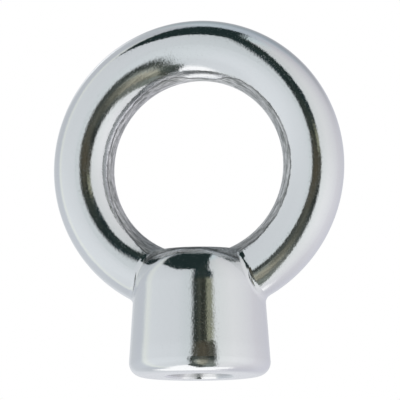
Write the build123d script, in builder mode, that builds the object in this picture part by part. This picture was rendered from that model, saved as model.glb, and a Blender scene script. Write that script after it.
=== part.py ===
"""Lifting eye nut, cast in one piece: a ring of round bar standing on a tapered, threaded boss.

The origin is the centre of the boss's flat seat, on the thread's axis. +Z runs up through the
eye, and the eye opens along Y. All lengths are in millimetres, and angles in degrees.
"""
from build123d import *
from math import radians, tan
import os

# Ring
ring_radius = 17.5  # to the centre line of the round bar
bar_diameter = 9.0
bar_crest = 0.3  # how far outside its centre line the bar is thickest
eye_height = 31.0  # centre of the eye above the seat

# Boss
foot_diameter = 21.2  # at the seat, measured to the sharp corner
draft_angle = 4.0  # how far the side leans in, for the mould
seat_rounding = 2.0  # rolled edge round the seat
neck_fillet = 1.3  # hollow where the bar runs into the boss

# Crown, the boss's top, which stands up into the eye
crown_rise = 0.6
crown_height = 2.5  # from the corner of bevel and drafted side, taken as sharp, up to the land
crown_slope = 40.0  # of the bevel, from level
shoulder_rounding = 6.0
crown_rounding = 1.2  # edge of the level land round the hole

# Thread, as a plain hole at its major diameter, tapped from the seat right through to the eye
thread_diameter = 10.0
countersink_diameter = 10.6
countersink_angle = 90.0

eye_radius = ring_radius - bar_diameter / 2
boss_height = eye_height - eye_radius + crown_rise
shoulder_height = boss_height - crown_height
shoulder_radius = foot_diameter / 2 - shoulder_height * tan(radians(draft_angle))
land_radius = shoulder_radius - crown_height / tan(radians(crown_slope))

with BuildPart() as eye_nut:
    # The boss is turned from one profile: seat, rolled edge, drafted side, shoulder and crown.
    with BuildSketch(Plane.XZ) as boss_profile:
        with BuildLine():
            Polyline(
                (0, 0),
                (foot_diameter / 2, 0),
                (shoulder_radius, shoulder_height),
                (land_radius, boss_height),
                (0, boss_height),
                close=True,
            )
        make_face()
        seat_corner = boss_profile.vertices().group_by(Axis.Y)[0].sort_by(Axis.X)[-1]
        fillet(seat_corner, seat_rounding)
        crown_corner = boss_profile.vertices().group_by(Axis.Y)[-1].sort_by(Axis.X)[-1]
        fillet(crown_corner, crown_rounding)
        shoulder_corner = boss_profile.vertices().sort_by_distance((shoulder_radius, shoulder_height))[0]
        fillet(shoulder_corner, shoulder_rounding)
    revolve(axis=Axis.Z)

    # The ring is the bar's section swung about the eye's own axis. The section is nearly a circle:
    # two half ellipses that meet where the bar is thickest, a little outside its centre line.
    with BuildSketch(Plane.YZ) as bar_section:
        with BuildLine():
            crest = (0, eye_height + ring_radius + bar_crest)
            half_bar = bar_diameter / 2
            EllipticalCenterArc(crest, half_bar, half_bar - bar_crest, start_angle=0, arc_size=180)
            EllipticalCenterArc(crest, half_bar, half_bar + bar_crest, start_angle=180, arc_size=180)
        make_face()
    revolve(axis=Axis((0, 0, eye_height), (0, 1, 0)))

    # Bar and boss meet along free curves, the only ones on the part. The casting is hollow there.
    fillet(eye_nut.edges().filter_by(GeomType.BSPLINE), neck_fillet)

    # The hole is drilled upwards from the seat and ends in the open eye.
    with Locations(Location((0, 0, 0), (180, 0, 0))):
        CounterSinkHole(
            radius=thread_diameter / 2,
            counter_sink_radius=countersink_diameter / 2,
            depth=eye_height,
            counter_sink_angle=countersink_angle,
        )

eye_nut.part.label = "eye_nut"
os.makedirs("parts", exist_ok=True)
export_step(eye_nut.part, "parts/eye_nut.step")
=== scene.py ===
"""A polished steel lifting eye nut, standing on a pale studio floor."""
import math

import bpy
from mathutils import Matrix, Vector


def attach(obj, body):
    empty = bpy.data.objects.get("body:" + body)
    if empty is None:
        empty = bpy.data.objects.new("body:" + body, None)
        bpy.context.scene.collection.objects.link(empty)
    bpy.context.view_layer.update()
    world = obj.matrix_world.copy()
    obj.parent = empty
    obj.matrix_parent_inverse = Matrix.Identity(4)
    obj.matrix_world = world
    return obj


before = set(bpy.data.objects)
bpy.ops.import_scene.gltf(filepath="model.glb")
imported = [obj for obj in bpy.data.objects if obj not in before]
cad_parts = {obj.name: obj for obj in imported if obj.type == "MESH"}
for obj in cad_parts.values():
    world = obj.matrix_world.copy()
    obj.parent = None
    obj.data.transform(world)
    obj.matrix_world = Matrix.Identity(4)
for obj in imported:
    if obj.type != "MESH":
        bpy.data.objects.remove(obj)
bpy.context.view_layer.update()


# ---------------------------------------------------------------------------------------------
# The nut itself: ring and boss, cast in one piece of stainless steel.
# The outside is buffed on a soft wheel to a mirror, with the slight waviness of hand polishing.
# The wheel can't reach the inside of the eye, so that stays matt and grained.
# ---------------------------------------------------------------------------------------------

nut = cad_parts["eye_nut"]
EYE_CENTRE = (0.0, 0.0, 0.031)
RING_RADIUS = 0.0175
BAR_RADIUS = 0.0045
BAR_CREST = 0.0003
FOOT_RADIUS = 0.0106
DRAFT_ANGLE = math.radians(4.0)

# The helpers work in the node tree that is being filled at the time, which is always called tree.
COLUMN_WIDTH = 220
ROW_HEIGHT = 180


def add_node(kind, inputs=None, **settings):
    """Puts a node in the tree, to the right of the nodes that feed it, with its settings and values."""
    node = tree.nodes.new(kind)
    for name, value in settings.items():
        setattr(node, name, value)
    column = 0
    for socket, value in (inputs or {}).items():
        if isinstance(value, bpy.types.NodeSocket):
            tree.links.new(value, node.inputs[socket])
            column = max(column, value.node.location.x + COLUMN_WIDTH)
        else:
            node.inputs[socket].default_value = value
    row = sum(other.location.x == column for other in tree.nodes if other != node)
    node.location = (column, -ROW_HEIGHT * row)
    return node


def maths(kind, *values):
    return add_node("ShaderNodeMath", dict(enumerate(values)), operation=kind).outputs[0]


def times(a, b):
    return maths("MULTIPLY", a, b)


def vector_maths(kind, *values):
    node = add_node("ShaderNodeVectorMath", dict(enumerate(values)), operation=kind)
    return node.outputs["Value" if kind == "LENGTH" else "Vector"]


def rise(value, start, end):
    """Goes smoothly from 0 at start to 1 at end."""
    limits = {"Value": value, "From Min": start, "From Max": end}
    return add_node("ShaderNodeMapRange", limits, interpolation_type="SMOOTHSTEP").outputs[0]


def spread(value, low, high, lowest=0.0, highest=1.0, clamp=True):
    """Goes evenly from lowest where value is low to highest where it is high."""
    limits = {"Value": value, "From Min": low, "From Max": high, "To Min": lowest, "To Max": highest}
    return add_node("ShaderNodeMapRange", limits, clamp=clamp).outputs[0]


def blend(factor, a, b, kind="MIX"):
    """Goes from colour a to colour b."""
    colours = {"Factor": factor, "A": a, "B": b}
    return add_node("ShaderNodeMix", colours, data_type="RGBA", blend_type=kind).outputs["Result"]


def between(factor, a, b):
    """Goes from number a to number b."""
    return add_node("ShaderNodeMix", {"Factor": factor, "A": a, "B": b}).outputs["Result"]


def grey(level):
    return (level, level, level, 1.0)


def ramp(value, low, high, stops):
    """The colour that follows stops, each one a value from low to high and its colour."""
    node = add_node("ShaderNodeValToRGB", {"Fac": spread(value, low, high)})
    band = node.color_ramp
    while len(band.elements) < len(stops):
        band.elements.new(1.0)
    for element, (at, colour) in zip(band.elements, stops):
        element.position = (at - low) / (high - low)
        element.color = colour
    return node.outputs["Color"]


def curve(value, low, high, stops, bottom=0.0, top=1.0):
    """The number that follows stops, each one a value from low to high and a number from bottom to top."""
    greys = [(at, grey((number - bottom) / (top - bottom))) for at, number in stops]
    return spread(ramp(value, low, high, greys), 0.0, 1.0, bottom, top)


def noise(place, scale, detail, roughness):
    texture = {"Vector": place, "Scale": scale, "Detail": detail, "Roughness": roughness}
    return add_node("ShaderNodeTexNoise", texture).outputs["Fac"]


def bare_material(name):
    """A material whose nodes are still to be made."""
    material = bpy.data.materials.new(name)
    material.use_nodes = True
    material.node_tree.nodes.clear()
    return material


# Buffing marks: long soft waves left by the wheel, and hairlines finer than a tenth of a millimetre.
buffing = bpy.data.node_groups.new("buffing marks", "ShaderNodeTree")
buffing.interface.new_socket("Position", in_out="INPUT", socket_type="NodeSocketVector")
buffing.interface.new_socket("Wave Size", in_out="INPUT", socket_type="NodeSocketFloat")
buffing.interface.new_socket("Hairline Depth", in_out="INPUT", socket_type="NodeSocketFloat")
buffing.interface.new_socket("Height", in_out="OUTPUT", socket_type="NodeSocketFloat")
buffing.interface.new_socket("Haze", in_out="OUTPUT", socket_type="NodeSocketFloat")
tree = buffing
given = add_node("NodeGroupInput").outputs
waves = noise(given["Position"], maths("DIVIDE", 1.0, given["Wave Size"]), 2.0, 0.45)
hairlines = noise(vector_maths("MULTIPLY", given["Position"], (1.0, 4.0, 1.0)), 2600.0, 2.0, 0.6)
height = maths("ADD", waves, times(hairlines, given["Hairline Depth"]))
haze = spread(noise(given["Position"], 420.0, 4.0, 0.6), 0.42, 0.70)
add_node("NodeGroupOutput", {"Height": height, "Haze": haze})

steel = bare_material("polished_cast_steel")
tree = steel.node_tree

# Where a point is: from the eye's centre, round the eye with 0 degrees on the right and 90 on top,
# and round the boss with 0 in front and 90 on the right.
place = add_node("ShaderNodeTexCoord").outputs["Object"]
from_centre = vector_maths("SUBTRACT", place, EYE_CENTRE)
in_plane = vector_maths("MULTIPLY", from_centre, (1.0, 0.0, 1.0))
reach = vector_maths("LENGTH", in_plane)
right_of, behind_of, above = add_node("ShaderNodeSeparateXYZ", {0: from_centre}).outputs
round_eye = maths("DEGREES", maths("ARCTAN2", above, right_of))
rightward, backward, upright = add_node("ShaderNodeSeparateXYZ", {0: place}).outputs
round_boss = maths("DEGREES", maths("ARCTAN2", rightward, times(backward, -1.0)))

# Distances off the bar and off the boss's side tell the ring and the boss apart. What is off both,
# high on the boss, is the hollow between them, which the wheel can't reach either.
off_crest = maths("SUBTRACT", reach, RING_RADIUS + BAR_CREST)
outward = times(maths("MAXIMUM", off_crest, 0.0), BAR_RADIUS / (BAR_RADIUS - BAR_CREST))
inward = times(maths("MINIMUM", off_crest, 0.0), BAR_RADIUS / (BAR_RADIUS + BAR_CREST))
section = add_node("ShaderNodeCombineXYZ", {"X": maths("ADD", outward, inward), "Y": behind_of}).outputs[0]
off_bar = maths("SUBTRACT", vector_maths("LENGTH", section), BAR_RADIUS)
from_axis = vector_maths("LENGTH", vector_maths("MULTIPLY", place, (1.0, 1.0, 0.0)))
side_reach = maths("MULTIPLY_ADD", upright, -math.tan(DRAFT_ANGLE), FOOT_RADIUS)
off_side = maths("SUBTRACT", from_axis, side_reach)
hollow = rise(maths("MINIMUM", off_bar, off_side), 0.00006, 0.00020)
hollow = times(hollow, rise(upright, 0.0115, 0.0145))

# The matt inside of the eye ends in a ragged edge where the wheel could reach no farther in. All
# round the eye that is at its own distance from the centre, and on the boss's front at an arch.
WHEEL_REACH = (
    (-180, 0.01560), (-150, 0.01635), (-132, 0.01725), (-120, 0.01845), (0, 0.01845), (30, 0.01805),
    (60, 0.01765), (69, 0.01685), (77, 0.01505), (93, 0.01505), (101, 0.01625), (112, 0.01625),
    (125, 0.01585), (137, 0.01545), (165, 0.01545), (180, 0.01560),
)
ARCH_CURVE = 33.0
ARCH_DEPTH = 0.01276
wheel_reach = curve(round_eye, -180, 180, WHEEL_REACH, top=0.020)
wheel_reach = maths("ADD", wheel_reach, times(rise(off_bar, 0.0002, 0.0006), 0.003))
matt_reach = maths("MULTIPLY_ADD", maths("ABSOLUTE", behind_of), 0.9, reach)
matt_reach = maths("MULTIPLY_ADD", noise(place, 900.0, 4.0, 0.7), 0.0009, matt_reach)
over_arch = maths("MULTIPLY_ADD", times(right_of, right_of), ARCH_CURVE, above)
over_arch = maths("ADD", over_arch, ARCH_DEPTH)
matt_depth = maths("MINIMUM", maths("SUBTRACT", wheel_reach, matt_reach), over_arch)
matt = maths("MAXIMUM", rise(matt_depth, -0.0001, 0.0001), hollow)

# The matt grain runs round the eye in long streaks and short ones, as an abrasive flap left it.
round_the_eye = vector_maths("NORMALIZE", in_plane)
across_bar = add_node("ShaderNodeCombineXYZ", {"Y": behind_of}).outputs[0]
streaks = []
for run, fineness in ((0.0034, 3600.0), (0.0008, 4800.0)):
    along = vector_maths("MULTIPLY", round_the_eye, (run, 0.0, run))
    streaks.append(add_node("ShaderNodeTexNoise", {
        "Vector": vector_maths("ADD", along, across_bar),
        "W": reach,
        "Scale": fineness,
        "Detail": 3.0,
        "Roughness": 0.7,
    }, noise_dimensions="4D").outputs["Fac"])
grain = spread(times(maths("ADD", *streaks), 0.5), 0.40, 0.60)

# Its outer edge is worn in a dark line and a bright one, and low down beside the boss, where the ring meets
# it, the matt colour is darkened by painted shade.
EDGE_WEAR = ((0.0, 0.62), (0.00018, 0.50), (0.00050, 1.0), (0.00085, 0.95), (0.00130, 0.85), (0.0030, 0.92))
SHADE_BY_BOSS = ((-180, 1.0), (-150, 1.0), (-128, 0.66), (-52, 0.66), (-34, 0.90), (-10, 1.0))
# The first factor is the edge wear; the second, SHADE_BY_BOSS, is painted shade.
edge_wear_and_shade = times(curve(matt_depth, 0.0, 0.0030, EDGE_WEAR), curve(round_eye, -180, 180, SHADE_BY_BOSS))
matt_colour = blend(grain, (0.24, 0.255, 0.245, 1.0), grey(1.0))
matt_colour = blend(1.0, matt_colour, edge_wear_and_shade, "MULTIPLY")
colour = blend(matt, (0.80, 0.81, 0.82, 1.0), matt_colour)

# The polish is hazy in places, pitted from the casting, and fades out towards the matt inside.
FADE_LENGTH = 0.0022
FADE_SHARE = ((-180, 0.3), (50, 0.3), (72, 1.0), (100, 1.0), (118, 0.3), (180, 0.3))
fade_length = times(curve(round_eye, -180, 180, FADE_SHARE), FADE_LENGTH)
fade = rise(maths("DIVIDE", matt_depth, fade_length), -1.0, 0.0)
pits = rise(noise(place, 4800.0, 1.0, 0.5), 0.55, 0.71)
marks = add_node("ShaderNodeGroup", node_tree=buffing)
tree.links.new(place, marks.inputs["Position"])
marks.inputs["Wave Size"].default_value = 0.0045
marks.inputs["Hairline Depth"].default_value = 0.12
roughness = spread(marks.outputs["Haze"], 0.0, 1.0, 0.045, 0.085)
roughness = maths("MULTIPLY_ADD", pits, 0.18, roughness)
roughness = maths("MULTIPLY_ADD", fade, 0.16, roughness)
roughness = between(matt, roughness, 0.40)

# What the wheel left in the surface, in steps of 0.03 mm: an orange peel all over, which grows
# where the polish fades, a front shoulder that is rubbed down, and a foot that rolls in.
WEAR_STEP = 0.00003
peel = times(noise(place, 3000.0, 2.0, 0.5), maths("MULTIPLY_ADD", fade, 0.8, 0.32))
rubbed = times(rise(round_boss, -34, 4), rise(round_boss, 32, 6))
rubbed = times(rubbed, times(rise(upright, 0.0138, 0.0168), rise(upright, 0.0215, 0.0195)))
wear = maths("MULTIPLY_ADD", rise(upright, 0.0010, 0.0046), 7.0, times(rubbed, -9.0))
wear = maths("ADD", wear, maths("ADD", marks.outputs["Height"], peel))
height = between(matt, wear, grain)
bump = add_node("ShaderNodeBump", {"Strength": 1.0, "Distance": WEAR_STEP, "Height": height})

surface = add_node("ShaderNodeBsdfPrincipled", {
    "Base Color": colour,
    "Roughness": roughness,
    "Normal": bump.outputs[0],
    "Metallic": 1.0,
})
add_node("ShaderNodeOutputMaterial", {"Surface": surface.outputs[0]})
for slot in nut.material_slots:
    slot.material = steel


# ---------------------------------------------------------------------------------------------
# The thread: M10 with a pitch of 1.5 mm, tapped after casting from the seat right through.
# Its ridge winds up the bore, and its ends are cut back by the countersink and by the crown.
# ---------------------------------------------------------------------------------------------

PITCH = 0.0015
MAJOR_RADIUS = 0.005
MINOR_RADIUS = 0.0042
ROOT_OVERLAP = 0.00004
THREAD_TOP = 0.0183
PLUG_RADIUS = 0.00529
STEPS_A_TURN = 48

# The ridge's section: nearly a pitch wide at its root in the bore's wall, a quarter at its crest.
bpy.ops.object.select_all(action="DESELECT")
bpy.ops.mesh.primitive_plane_add(size=1.0, location=(0, 0, 0))
thread = bpy.context.object
thread.name = "thread"
thread.data.name = "thread"
bpy.ops.object.mode_set(mode="EDIT")
bpy.ops.mesh.select_all(action="SELECT")
bpy.ops.mesh.delete(type="ONLY_FACE")
bpy.ops.object.mode_set(mode="OBJECT")
for corner in thread.data.vertices:
    if corner.co.x < 0:
        radius = MAJOR_RADIUS + ROOT_OVERLAP
        half_width = 0.43 * PITCH
    else:
        radius = MINOR_RADIUS
        half_width = 0.125 * PITCH
    corner.co = (radius, 0.0, math.copysign(half_width, corner.co.y) - PITCH)

# It is wound up past both ends of the bore, and its two ends are closed.
winding = thread.modifiers.new("winding", "SCREW")
winding.axis = "Z"
winding.angle = math.tau
winding.screw_offset = PITCH
winding.iterations = 15
winding.steps = STEPS_A_TURN
winding.render_steps = STEPS_A_TURN
winding.use_merge_vertices = False
bpy.ops.object.modifier_apply(modifier=winding.name)
bpy.ops.object.mode_set(mode="EDIT")
bpy.ops.mesh.select_all(action="SELECT")
bpy.ops.mesh.remove_doubles(threshold=1e-7)
bpy.ops.mesh.select_all(action="DESELECT")
bpy.ops.mesh.select_non_manifold(extend=False)
bpy.ops.mesh.edge_face_add()
bpy.ops.mesh.select_all(action="SELECT")
bpy.ops.mesh.normals_make_consistent(inside=False)
bpy.ops.object.mode_set(mode="OBJECT")

# A plug with a hollow 90 degree cone in each end, as wide as the countersink, trims the winding.
bpy.ops.object.select_all(action="DESELECT")
bpy.ops.mesh.primitive_cylinder_add(vertices=96, radius=PLUG_RADIUS, depth=THREAD_TOP,
                                    end_fill_type="TRIFAN", location=(0, 0, THREAD_TOP / 2))
plug = bpy.context.object
bpy.ops.object.transform_apply(location=True, rotation=True, scale=True)
for corner in plug.data.vertices:
    if math.hypot(corner.co.x, corner.co.y) < PLUG_RADIUS / 2:
        corner.co.z += math.copysign(PLUG_RADIUS, THREAD_TOP / 2 - corner.co.z)
bpy.ops.object.select_all(action="DESELECT")
bpy.context.view_layer.objects.active = thread
thread.select_set(True)
trim = thread.modifiers.new("trim", "BOOLEAN")
trim.operation = "INTERSECT"
trim.solver = "EXACT"
trim.object = plug
bpy.ops.object.modifier_apply(modifier=trim.name)
bpy.data.objects.remove(plug)
bpy.ops.object.shade_smooth_by_angle(angle=math.radians(25))

# Cut steel: bright, with fine tool marks.
cut_steel = bare_material("tapped_steel")
tree = cut_steel.node_tree
marks = add_node("ShaderNodeGroup", node_tree=buffing)
tree.links.new(add_node("ShaderNodeTexCoord").outputs["Object"], marks.inputs["Position"])
marks.inputs["Wave Size"].default_value = 0.0012
marks.inputs["Hairline Depth"].default_value = 0.3
bump = add_node("ShaderNodeBump", {"Strength": 1.0, "Distance": 0.00001, "Height": marks.outputs["Height"]})
surface = add_node("ShaderNodeBsdfPrincipled", {
    "Base Color": blend(marks.outputs["Haze"], (0.66, 0.67, 0.68, 1.0), (0.52, 0.52, 0.51, 1.0)),
    "Roughness": spread(marks.outputs["Haze"], 0.0, 1.0, 0.20, 0.36),
    "Normal": bump.outputs[0],
    "Metallic": 1.0,
})
add_node("ShaderNodeOutputMaterial", {"Surface": surface.outputs[0]})
thread.data.materials.append(cut_steel)
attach(thread, "root")


# ---------------------------------------------------------------------------------------------
# The floor: a pale matt sheet that the seat stands on. It holds the nut's soft shadow.
# It looks as pale as the studio, and from below it is open, so that the seat can be looked at too.
# ---------------------------------------------------------------------------------------------

bpy.ops.object.select_all(action="DESELECT")
bpy.ops.mesh.primitive_plane_add(size=4.0, location=(0, 0, -0.0001))
floor = bpy.context.object
floor.name = "floor"
sheet = bare_material("pale_sheet")
tree = sheet.node_tree
matt_white = add_node("ShaderNodeBsdfDiffuse", {"Color": (0.86, 0.86, 0.86, 1.0)}).outputs[0]
seen = add_node("ShaderNodeLightPath").outputs["Is Camera Ray"]
glow = add_node("ShaderNodeEmission", {"Color": grey(1.0), "Strength": times(seen, 0.40)}).outputs[0]
upper_side = add_node("ShaderNodeAddShader", {0: matt_white, 1: glow}).outputs[0]
lower_side = add_node("ShaderNodeBsdfTransparent").outputs[0]
from_below = add_node("ShaderNodeNewGeometry").outputs["Backfacing"]
both_sides = add_node("ShaderNodeMixShader", {0: from_below, 1: upper_side, 2: lower_side}).outputs[0]
add_node("ShaderNodeOutputMaterial", {"Surface": both_sides})
floor.data.materials.append(sheet)
floor.visible_glossy = False
floor.visible_diffuse = False
floor.visible_shadow = False


# ---------------------------------------------------------------------------------------------
# The studio: a tent of white cloth all round, open in front towards a dark room, and overhead.
# The polished steel shows the cloth and both openings. Past the nut there is plain white.
# ---------------------------------------------------------------------------------------------

# Headings run from -180 to 180 degrees round the nut, with 0 in front and 90 on the right, and
# heights from -90 degrees below it to 90 above. A tone is as a screen shows it, up to 255.
CLOTH = (
    (-180, 194, 195, 201), (-162, 201, 203, 207), (-148, 203, 206, 210), (-135, 189, 193, 197),
    (-106, 188, 192, 198), (-98, 190, 195, 200), (-92, 213, 217, 215), (-87, 217, 221, 217),
    (-76, 209, 213, 216), (-42, 207, 211, 214), (-25, 206, 210, 213), (-8, 199, 205, 207),
    (50, 214, 217, 217), (72, 219, 220, 221), (92, 215, 216, 218), (112, 209, 209, 213),
    (120, 204, 203, 208), (145, 198, 198, 204), (166, 193, 193, 201), (180, 194, 195, 201),
)
CLOTH_BY_HEIGHT = (
    (-90, 0.94), (-60, 0.98), (-42, 0.98), (-26, 1.05), (-10, 1.04), (0, 1.0), (17, 0.93), (31, 0.91),
    (45, 0.88), (60, 0.82), (72, 0.79), (90, 0.75),
)
# The headings of the front opening's left and right edges, at each height.
LEFT_EDGE = ((-90, -16), (-58, -16), (-50, -6), (-14, -6), (5, 1), (34, 1), (45, 0.5), (55, -3), (90, -3))
RIGHT_EDGE = (
    (-90, 80), (-73, 80), (-66, 63), (-52, 49.5), (-44, 44), (-34, 42), (0, 41.5), (8, 40), (14, 36.5),
    (24, 38), (34, 38), (38, 34), (46, 31), (60, 29), (90, 29),
)
# The room through it by height, and the heading up to which its low left side lies in shadow.
ROOM = (
    (-90, 60, 66, 66), (-80, 108, 114, 110), (-70, 112, 118, 114), (-58, 122, 129, 122),
    (-46, 147, 151, 143), (-36, 145, 149, 141), (-25, 114, 119, 113), (-14, 74, 79, 76),
    (-5, 60, 64, 61), (5, 77, 76, 68), (15, 46, 54, 52), (28, 34, 46, 48), (60, 34, 46, 46),
    (90, 32, 44, 44),
)
SHADOW_EDGE = ((-90, 26), (-66, 22), (-60, 11), (-54, 5), (-48, 1), (-40, -1), (90, -1))
WHITE_TONE = 255
STEEL_REFLECTS = 0.80


def tone(*levels):
    """The light that a screen shows as this tone."""
    return tuple(((level / WHITE_TONE + 0.055) / 1.055) ** 2.4 for level in levels) + (1.0,)


def line(value, start, end):
    """The straight line through two points, value being the distance along it."""
    return spread(value, start[0], end[0], start[1], end[1], clamp=False)


world = bpy.data.worlds.new("studio")
bpy.context.scene.world = world
world.use_nodes = True
tree = world.node_tree
tree.nodes.clear()
look = add_node("ShaderNodeTexCoord").outputs["Generated"]
east, north, upward = add_node("ShaderNodeSeparateXYZ", {0: look}).outputs
south = times(north, -1.0)
heading = maths("DEGREES", maths("ARCTAN2", east, south))
lift = maths("DEGREES", maths("ARCSINE", upward))

cloth = ramp(heading, -180, 180, [(at, tone(*levels)) for at, *levels in CLOTH])
cloth = blend(1.0, cloth, curve(lift, -90, 90, CLOTH_BY_HEIGHT, top=1.12), "MULTIPLY")

# High up behind, the cloth gets less light, and it is a little greener there and overhead.
at_the_back = maths("MAXIMUM", rise(heading, 122, 165), rise(heading, -132, -160))
shade = times(at_the_back, times(rise(lift, 14, 34), rise(lift, 66, 46)))
cloth = blend(times(shade, 0.34), cloth, (0.0, 0.02, 0.01, 1.0))
high_up = maths("MAXIMUM", times(at_the_back, rise(lift, 30, 48)), rise(lift, 66, 76))
cloth = blend(high_up, cloth, (0.90, 1.0, 1.02, 1.0), "MULTIPLY")

# Low down, on the left and behind, it is lit straight from the lamps.
low_from = times(rise(heading, -108, -125), 14.0)
low_down = rise(maths("SUBTRACT", lift, low_from), -56, -66)
unlit_side = times(rise(heading, -24, -8), rise(heading, 130, 95))
cloth = blend(times(low_down, maths("SUBTRACT", 1.0, unlit_side)), cloth, tone(250, 250, 250))

# One lamp shows through the cloth at the back.
off_lamp = line(heading, (-158, -2.0), (-131, 2.0))
over_lamp = line(lift, (13, -2.0), (41, 2.0))
lamp_distance = maths("MULTIPLY_ADD", over_lamp, over_lamp, times(off_lamp, off_lamp))
lamp_glow = maths("EXPONENT", times(lamp_distance, -1.0))
cloth = blend(times(lamp_glow, 0.58), cloth, grey(1.0), "ADD")

# The room in front, with its odds and ends: a shadow low on the left and another low on the right,
# a warm strip up the middle, and a pale bench on the right.
room = ramp(lift, -90, 90, [(at, tone(*levels)) for at, *levels in ROOM])
past_shadow = maths("SUBTRACT", heading, curve(lift, -90, 90, SHADOW_EDGE, -90.0, 90.0))
low_left = times(rise(past_shadow, 8, 1), rise(lift, -8, -18))
room = blend(times(low_left, 0.78), room, tone(34, 41, 39))
low_right = times(rise(heading, 16, 32), times(rise(lift, 8, -12), rise(lift, -68, -50)))
room = blend(times(low_right, 0.50), room, tone(24, 30, 28))
warm = times(rise(heading, 6, 13), rise(heading, 31, 24))
room = blend(warm, room, (1.09, 1.0, 0.90, 1.0), "MULTIPLY")
bench = times(rise(heading, 22, 31), times(rise(lift, 8, 13), rise(lift, 21, 16)))
room = blend(bench, room, tone(128, 130, 112))
clutter = spread(noise(look, 9.0, 5.0, 0.65), 0.3, 0.7, 0.4, 1.6)
room = add_node("ShaderNodeVectorMath", {0: room, "Scale": clutter}, operation="SCALE").outputs[0]

# It shows between the edges of the front opening, and right underfoot there is only shade.
EDGE_BLUR = 4.5
past_left = maths("SUBTRACT", heading, curve(lift, -90, 90, LEFT_EDGE, -90.0, 90.0))
short_of_right = maths("SUBTRACT", curve(lift, -90, 90, RIGHT_EDGE, -90.0, 90.0), heading)
gap = times(rise(past_left, -EDGE_BLUR, EDGE_BLUR), rise(short_of_right, -EDGE_BLUR, EDGE_BLUR))
cloth = blend(gap, cloth, room)
cloth = blend(rise(lift, -85, -89), cloth, tone(30, 36, 38))

# The opening overhead, on a level sheet one unit up: it comes to a point on the left. Each of its
# sides is a distance in from an edge, with the blur of that edge.
high = maths("MAXIMUM", upward, 0.001)
roof_right = maths("DIVIDE", east, high)
roof_front = maths("DIVIDE", south, high)
sides = (
    (maths("SUBTRACT", line(roof_right, (-0.88, 0.19), (-0.47, 0.74)), roof_front), 0.06),
    (maths("SUBTRACT", 0.72, roof_front), 0.06),
    (maths("SUBTRACT", roof_front, line(roof_right, (-0.88, 0.18), (-0.10, -0.22))), 0.05),
    (maths("SUBTRACT", roof_front, -0.17), 0.05),
    (maths("SUBTRACT", 0.15, roof_right), 0.05),
)
roof = rise(upward, 0.19, 0.21)
for distance_in, blur in sides:
    roof = times(roof, rise(distance_in, -blur, blur))
cloth = blend(roof, cloth, tone(30, 42, 42))

# Steel sends back four fifths of the light that it gets. Straight on, there is only plain white.
lit = add_node("ShaderNodeBackground", {"Color": cloth, "Strength": 1.0 / STEEL_REFLECTS}).outputs[0]
white = add_node("ShaderNodeBackground", {"Color": grey(1.0), "Strength": 1.0}).outputs[0]
path = add_node("ShaderNodeLightPath").outputs
straight = maths("MAXIMUM", path["Is Camera Ray"], path["Is Transmission Ray"])
shown = add_node("ShaderNodeMixShader", {0: straight, 1: lit, 2: white}).outputs[0]
add_node("ShaderNodeOutputWorld", {"Surface": shown})


# ---------------------------------------------------------------------------------------------
# The camera: a long lens a little below the seat, turned a little to the right of the front.
# It leans by half a degree, and it is aimed below the eye's centre, at the middle of the nut.
# ---------------------------------------------------------------------------------------------

AROUND = math.radians(13.4)
BELOW = math.radians(-7.07)
LEAN = math.radians(-0.44)
DISTANCE = 0.700
AIM_RIGHT = 0.000249
AIM_DOWN = 0.004780

away = Vector((math.sin(AROUND) * math.cos(BELOW), -math.cos(AROUND) * math.cos(BELOW), math.sin(BELOW)))
level = Vector((math.cos(AROUND), math.sin(AROUND), 0.0))
plumb = away.cross(level)
right = level * math.cos(LEAN) + plumb * math.sin(LEAN)
top = plumb * math.cos(LEAN) - level * math.sin(LEAN)
centre = Vector(EYE_CENTRE)
spot = centre + away * DISTANCE
back = (spot - (centre + right * AIM_RIGHT - top * AIM_DOWN)).normalized()
side = top.cross(back).normalized()
top = back.cross(side)
camera_data = bpy.data.cameras.new("camera")
camera_data.sensor_width = 36.0
camera_data.lens = 424.8
camera_data.clip_start = 0.01
camera_data.clip_end = 50.0
camera = bpy.data.objects.new("camera", camera_data)
bpy.context.scene.collection.objects.link(camera)
camera.matrix_world = Matrix.Translation(spot) @ Matrix((side, top, back)).transposed().to_4x4()
bpy.context.scene.camera = camera
bpy.context.scene.view_settings.view_transform = "Standard"
